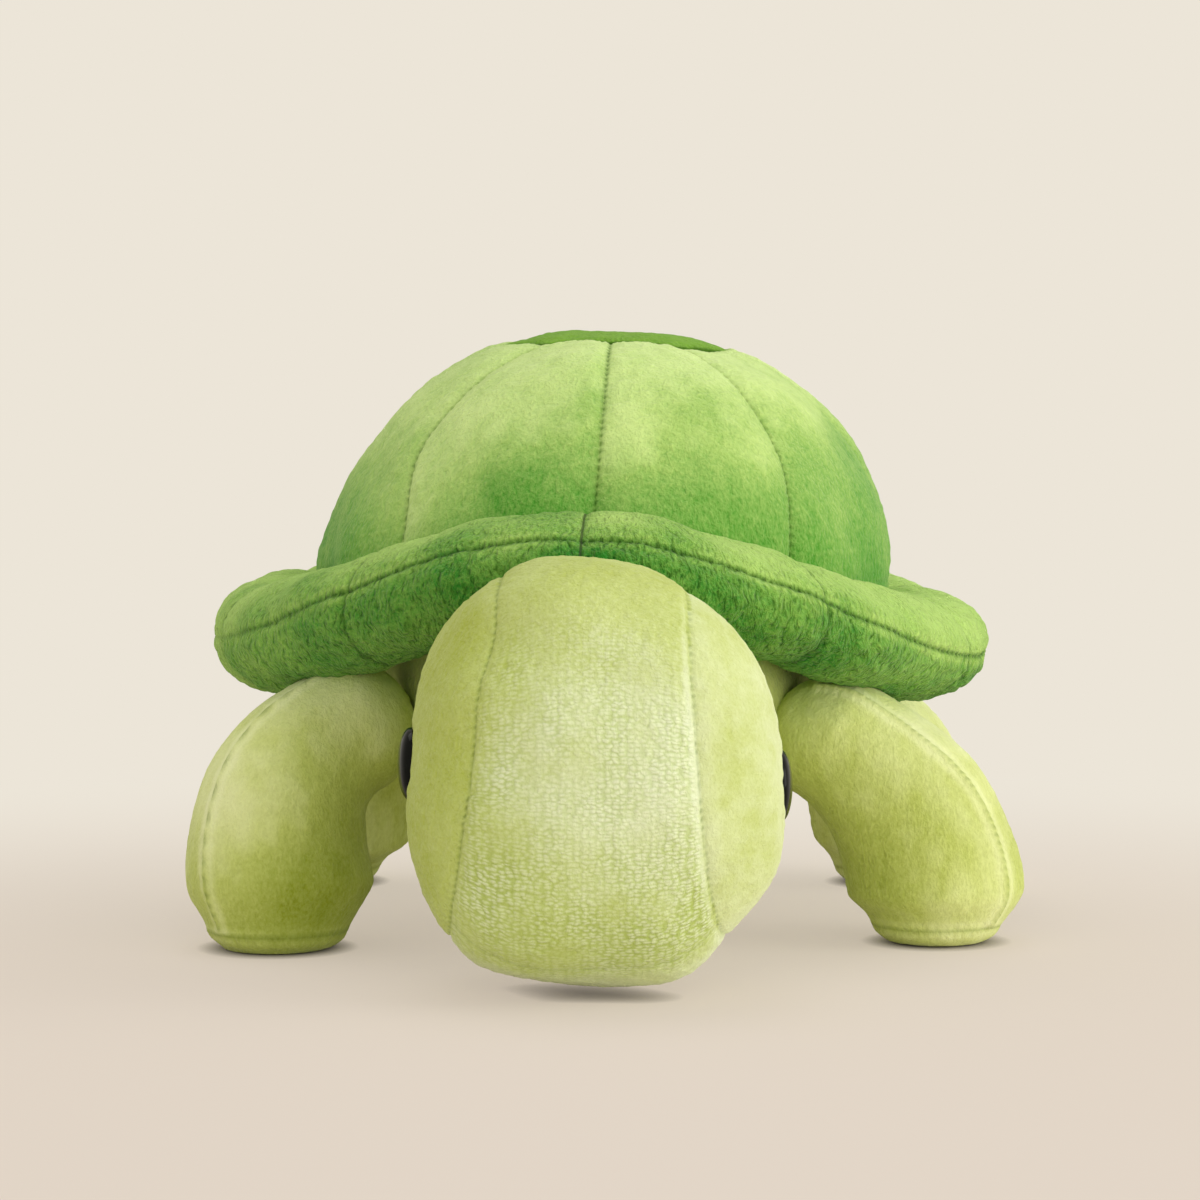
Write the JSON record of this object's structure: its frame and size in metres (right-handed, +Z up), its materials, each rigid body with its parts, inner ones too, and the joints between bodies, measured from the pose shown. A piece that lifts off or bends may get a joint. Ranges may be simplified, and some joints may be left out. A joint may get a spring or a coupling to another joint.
{
  "type": "plush turtle",
  "caption": "Stuffed toy turtle with a panelled dome shell, a stuffed brim, a hanging head and stubby legs that flex at sewn joints.",
  "frame": {"origin": "middle of the toy's overall length and width, on the surface it stands on", "axes": "+Z up, -Y the way the head faces, +X the turtle's own left"},
  "size_m": [0.2148, 0.3018, 0.16],
  "materials": {
    "dome_cloth": "short velvety pile, leaf green",
    "patch_cloth": "short velvety pile, grass green",
    "brim_cloth": "short velvety pile, grass green",
    "skin_cloth": "short velvety pile, lime",
    "wadding": "loose polyester fibre",
    "eye_plastic": "polished black",
    "washer_plastic": "milky moulded"
  },
  "bodies": {
    "torso": {"shell_gore_1": "dome_cloth", "shell_gore_2": "dome_cloth", "shell_gore_3": "dome_cloth", "shell_gore_4": "dome_cloth", "shell_gore_5": "dome_cloth", "shell_gore_6": "dome_cloth", "shell_gore_7": "dome_cloth", "shell_gore_8": "dome_cloth", "shell_top_patch": "patch_cloth", "shell_filling": "wadding", "brim_upper_1": "brim_cloth", "brim_upper_2": "brim_cloth", "brim_upper_3": "brim_cloth", "brim_upper_4": "brim_cloth", "brim_upper_5": "brim_cloth", "brim_upper_6": "brim_cloth", "brim_upper_7": "brim_cloth", "brim_upper_8": "brim_cloth", "brim_upper_9": "brim_cloth", "brim_upper_10": "brim_cloth", "brim_lower_1": "brim_cloth", "brim_lower_2": "brim_cloth", "brim_lower_3": "brim_cloth", "brim_lower_4": "brim_cloth", "brim_lower_5": "brim_cloth", "brim_lower_6": "brim_cloth", "brim_lower_7": "brim_cloth", "brim_lower_8": "brim_cloth", "brim_lower_9": "brim_cloth", "brim_lower_10": "brim_cloth", "brim_filling": "wadding", "body": "skin_cloth", "belly_panel": "skin_cloth"},
    "head": {"head_gusset": "skin_cloth", "head_side_left": "skin_cloth", "head_side_right": "skin_cloth", "chin_panel": "skin_cloth", "head_filling": "wadding", "neck": "skin_cloth", "eye_left": "eye_plastic", "eye_right": "eye_plastic", "eye_washer_left": "washer_plastic", "eye_washer_right": "washer_plastic"},
    "leg_front_left": {"leg_front_left": "skin_cloth", "sole_front_left": "skin_cloth"},
    "leg_front_right": {"leg_front_right": "skin_cloth", "sole_front_right": "skin_cloth"},
    "leg_rear_left": {"leg_rear_left": "skin_cloth", "sole_rear_left": "skin_cloth"},
    "leg_rear_right": {"leg_rear_right": "skin_cloth", "sole_rear_right": "skin_cloth"},
    "tail": {"tail": "skin_cloth"}
  },
  "joints": [
    {"name": "head_nod", "type": "hinge", "parent": "torso", "child": "head", "pos_m": [0, -0.051, 0.051], "axis": [1, 0, 0], "range_deg": [-4, 10], "stiffness_Nm_per_rad": 0.5},
    {"name": "front_left_swing", "type": "hinge", "parent": "torso", "child": "leg_front_left", "pos_m": [0.068, -0.028, 0.0432], "axis": [1, 0, 0], "range_deg": [-15, 15], "stiffness_Nm_per_rad": 0.5},
    {"name": "front_right_swing", "type": "hinge", "parent": "torso", "child": "leg_front_right", "pos_m": [-0.068, -0.028, 0.0432], "axis": [1, 0, 0], "range_deg": [-15, 15], "stiffness_Nm_per_rad": 0.5},
    {"name": "rear_left_swing", "type": "hinge", "parent": "torso", "child": "leg_rear_left", "pos_m": [0.068, 0.081, 0.0402], "axis": [1, 0, 0], "range_deg": [-15, 15], "stiffness_Nm_per_rad": 0.5},
    {"name": "rear_right_swing", "type": "hinge", "parent": "torso", "child": "leg_rear_right", "pos_m": [-0.068, 0.081, 0.0402], "axis": [1, 0, 0], "range_deg": [-15, 15], "stiffness_Nm_per_rad": 0.5},
    {"name": "tail_wag", "type": "hinge", "parent": "torso", "child": "tail", "pos_m": [0, 0.115, 0.054], "axis": [0, 0, 1], "range_deg": [-12, 12], "stiffness_Nm_per_rad": 0.5}
  ]
}
